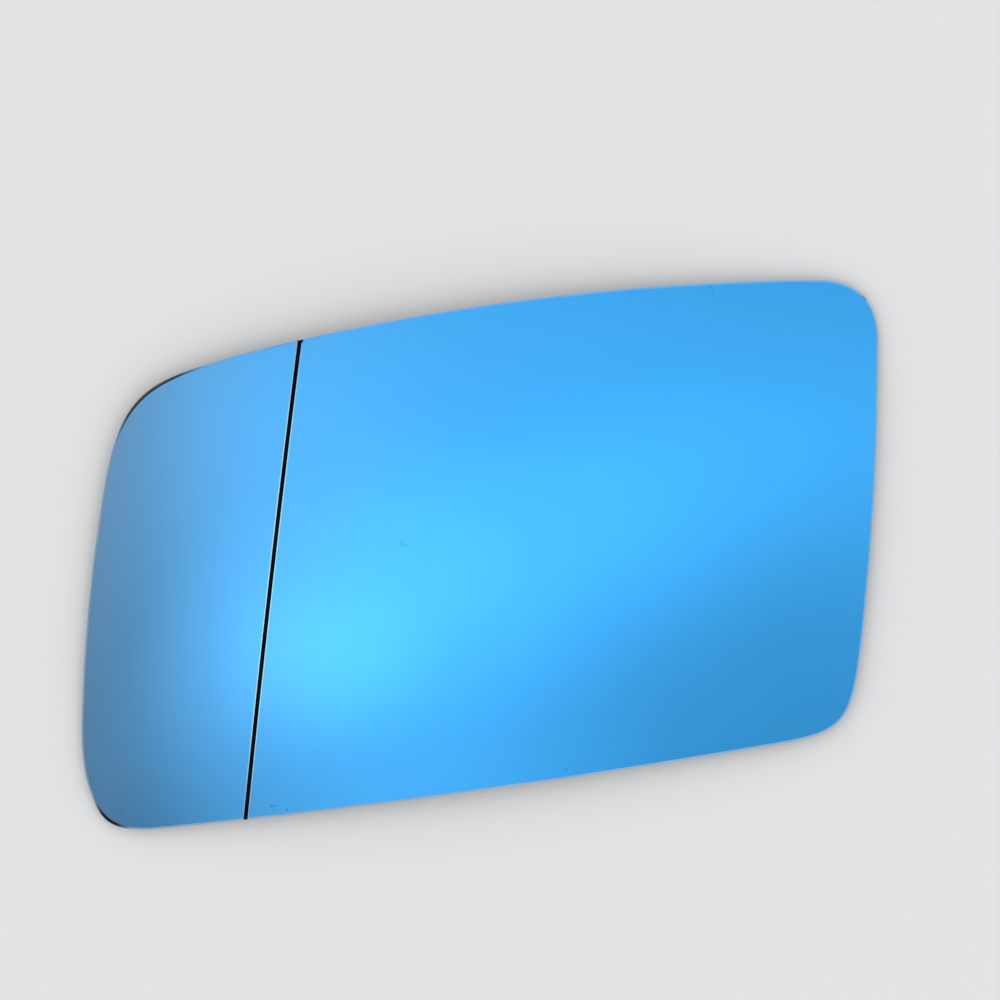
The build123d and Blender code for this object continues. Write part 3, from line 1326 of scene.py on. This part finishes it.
    @staticmethod
    def place(mesh: bpy.types.Mesh, solid_box: tuple[Vector, Vector]) -> None:
        """Moves the mesh to where the solid lies: middle over middle in plan, lowest point on lowest point.

        Args:
            mesh: The sheet, as the tree leaves it.
            solid_box: Lowest and highest corner of the solid.
        """
        spans = [[point.co[axis] for point in mesh.vertices] for axis in range(3)]
        low, high = solid_box
        apart = [low[axis] + high[axis] - min(spans[axis]) - max(spans[axis]) for axis in range(3)]
        move = Vector(apart) / 2
        move.z = low.z - min(spans[2])
        mesh.transform(Matrix.Translation(move))

    def dress(self, piece: bpy.types.Object, node: str) -> None:
        """Hands the piece to the frame.

        Args:
            piece: The finished sheet.
            node: The name of the solid that it stands for.
        """
        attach(piece, "root")
        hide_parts(node)


@dataclass(frozen=True)
class SoftBox:
    """A soft box that faces the glass, in metres: its place, its size, and how much it outshines the sky."""

    name: str
    place: tuple[float, float, float]
    size: tuple[float, float]
    gain: float

    def hang(self) -> None:
        """Hangs the lamp."""
        data = bpy.data.lights.new(self.name, "AREA")
        data.shape = "RECTANGLE"
        data.size, data.size_y = self.size
        data.energy = self.gain * math.pi * data.size * data.size_y
        lamp = bpy.data.objects.new(self.name, data)
        lamp.location = self.place
        lamp.rotation_euler = Vector(self.place).to_track_quat("Z", "Y").to_euler()
        bpy.context.scene.collection.objects.link(lamp)


@dataclass
class Studio:
    """Pale floor, soft sky, four soft boxes and the camera straight over the glass, in metres.

    The sky's patches lie in the plan of directions, where straight up is the middle.
    """

    floor_colour: str = "#E3E4E6"
    floor_half: float = 8.0
    floor_roughness: float = 0.8
    floor_specular: float = 0.1
    camera_place: tuple[float, float, float] = (0.00453, 0.01241, 1.0)
    camera_near: float = 0.01
    lens_mm: float = 159.15
    sensor_mm: float = 36.0
    sky_level: float = 1.0
    front_horizon: float = 1.05
    back_horizon: float = 0.85
    horizon_rise: tuple[float, float] = (0.2, 0.7)
    boxes: tuple[SoftBox, ...] = (
        SoftBox("soft_box_right", (2.175, 1.014, 1.35), (1.6, 1.1), 0.30),
        SoftBox("soft_box_back", (-1.014, 2.175, 1.35), (1.6, 1.1), 0.30),
        SoftBox("soft_box_left", (-2.175, -1.014, 1.35), (1.6, 1.1), 0.30),
        SoftBox("soft_box_front", (1.014, -2.175, 1.35), (1.6, 1.1), 0.35),
    )
    patches: tuple[SoftSpot, ...] = (
        SoftSpot((0.0, 0.0), (0.7, 0.7), 0.0, -0.95, 1.0),
        SoftSpot((-0.04, 0.046), (0.7, 0.354), -9.855, 0.95, 1.0),
        SoftSpot((-0.021, -0.039), (0.369, 0.105), 18.564, 0.31, 1.0),
        SoftSpot((0.019, -0.366), (0.203, 0.7), 20.798, 0.608, 1.0),
        SoftSpot((-0.089, -0.081), (0.087, 0.066), 3.266, 0.256, 1.0),
        SoftSpot((0.208, -0.072), (0.149, 0.176), 42.17, -0.184, 1.0),
    )

    def sky(self) -> None:
        """Makes the sky: a horizon, brighter in front, and soft patches overhead that the glass mirrors."""
        world = bpy.data.worlds.new("studio_sky")
        world.use_nodes = True
        tree = world.node_tree
        direction = add_node(tree, "ShaderNodeTexCoord").outputs["Generated"]
        axes = add_node(tree, "ShaderNodeSeparateXYZ", {0: direction})
        ends = {"To Min": self.front_horizon, "To Max": self.back_horizon}
        front_to_back = {"Value": axes.outputs["Y"], "From Min": -1.0, **ends}
        limits = {
            "Value": axes.outputs["Z"],
            "From Min": self.horizon_rise[0],
            "From Max": self.horizon_rise[1],
            "To Min": add_node(tree, "ShaderNodeMapRange", front_to_back),
            "To Max": self.sky_level,
        }
        level = add_node(tree, "ShaderNodeMapRange", limits, interpolation_type="SMOOTHSTEP")
        flat = in_plan(tree, direction)
        for patch in self.patches:
            soft = patch.add(tree, flat, unit=1.0)
            level = add_node(tree, "ShaderNodeMath", {0: level, 1: soft}, operation="ADD")
        background = tree.nodes["Background"]
        background.inputs["Color"].default_value = (1, 1, 1, 1)
        tree.links.new(level.outputs["Value"], background.inputs["Strength"])
        bpy.context.scene.world = world

    def floor(self) -> None:
        """Lays the pale floor under the glass."""
        half = self.floor_half
        mesh = bpy.data.meshes.new("pale_floor")
        corners = [(-half, -half, 0), (half, -half, 0), (half, half, 0), (-half, half, 0)]
        mesh.from_pydata(corners, [], [(0, 1, 2, 3)])
        material = bpy.data.materials.new("pale_matt_floor")
        material.use_nodes = True
        shader = material.node_tree.nodes["Principled BSDF"]
        shader.inputs["Base Color"].default_value = linear(self.floor_colour)
        shader.inputs["Roughness"].default_value = self.floor_roughness
        shader.inputs["Specular IOR Level"].default_value = self.floor_specular
        mesh.materials.append(material)
        floor = bpy.data.objects.new("pale_floor", mesh)
        bpy.context.scene.collection.objects.link(floor)

    def camera(self) -> None:
        """Sets the camera straight over the glass, at the photograph's framing."""
        data = bpy.data.cameras.new("overhead_camera")
        data.lens = self.lens_mm
        data.sensor_width = self.sensor_mm
        data.clip_start = self.camera_near
        camera = bpy.data.objects.new("overhead_camera", data)
        camera.location = self.camera_place
        bpy.context.scene.collection.objects.link(camera)
        bpy.context.scene.camera = camera

    def build(self) -> None:
        """Sets the whole studio up."""
        bpy.context.scene.view_settings.view_transform = "Standard"
        self.sky()
        self.floor()
        for box in self.boxes:
            box.hang()
        self.camera()


def main() -> None:
    """Builds the glass and the studio, and reports each piece."""
    logging.basicConfig(level=logging.INFO, format="%(name)s: %(message)s", stream=sys.stdout)
    glass = MirrorGlass()
    piece = glass.build("mirror_glass")
    glass.dress(piece, "mirror_glass")
    log.info("%s: %d vertices, %d faces", piece.name, len(piece.data.vertices), len(piece.data.polygons))
    Studio().build()
    log.info("studio: pale floor, soft sky, four soft boxes and the camera")


if __name__ == "__main__":
    main()
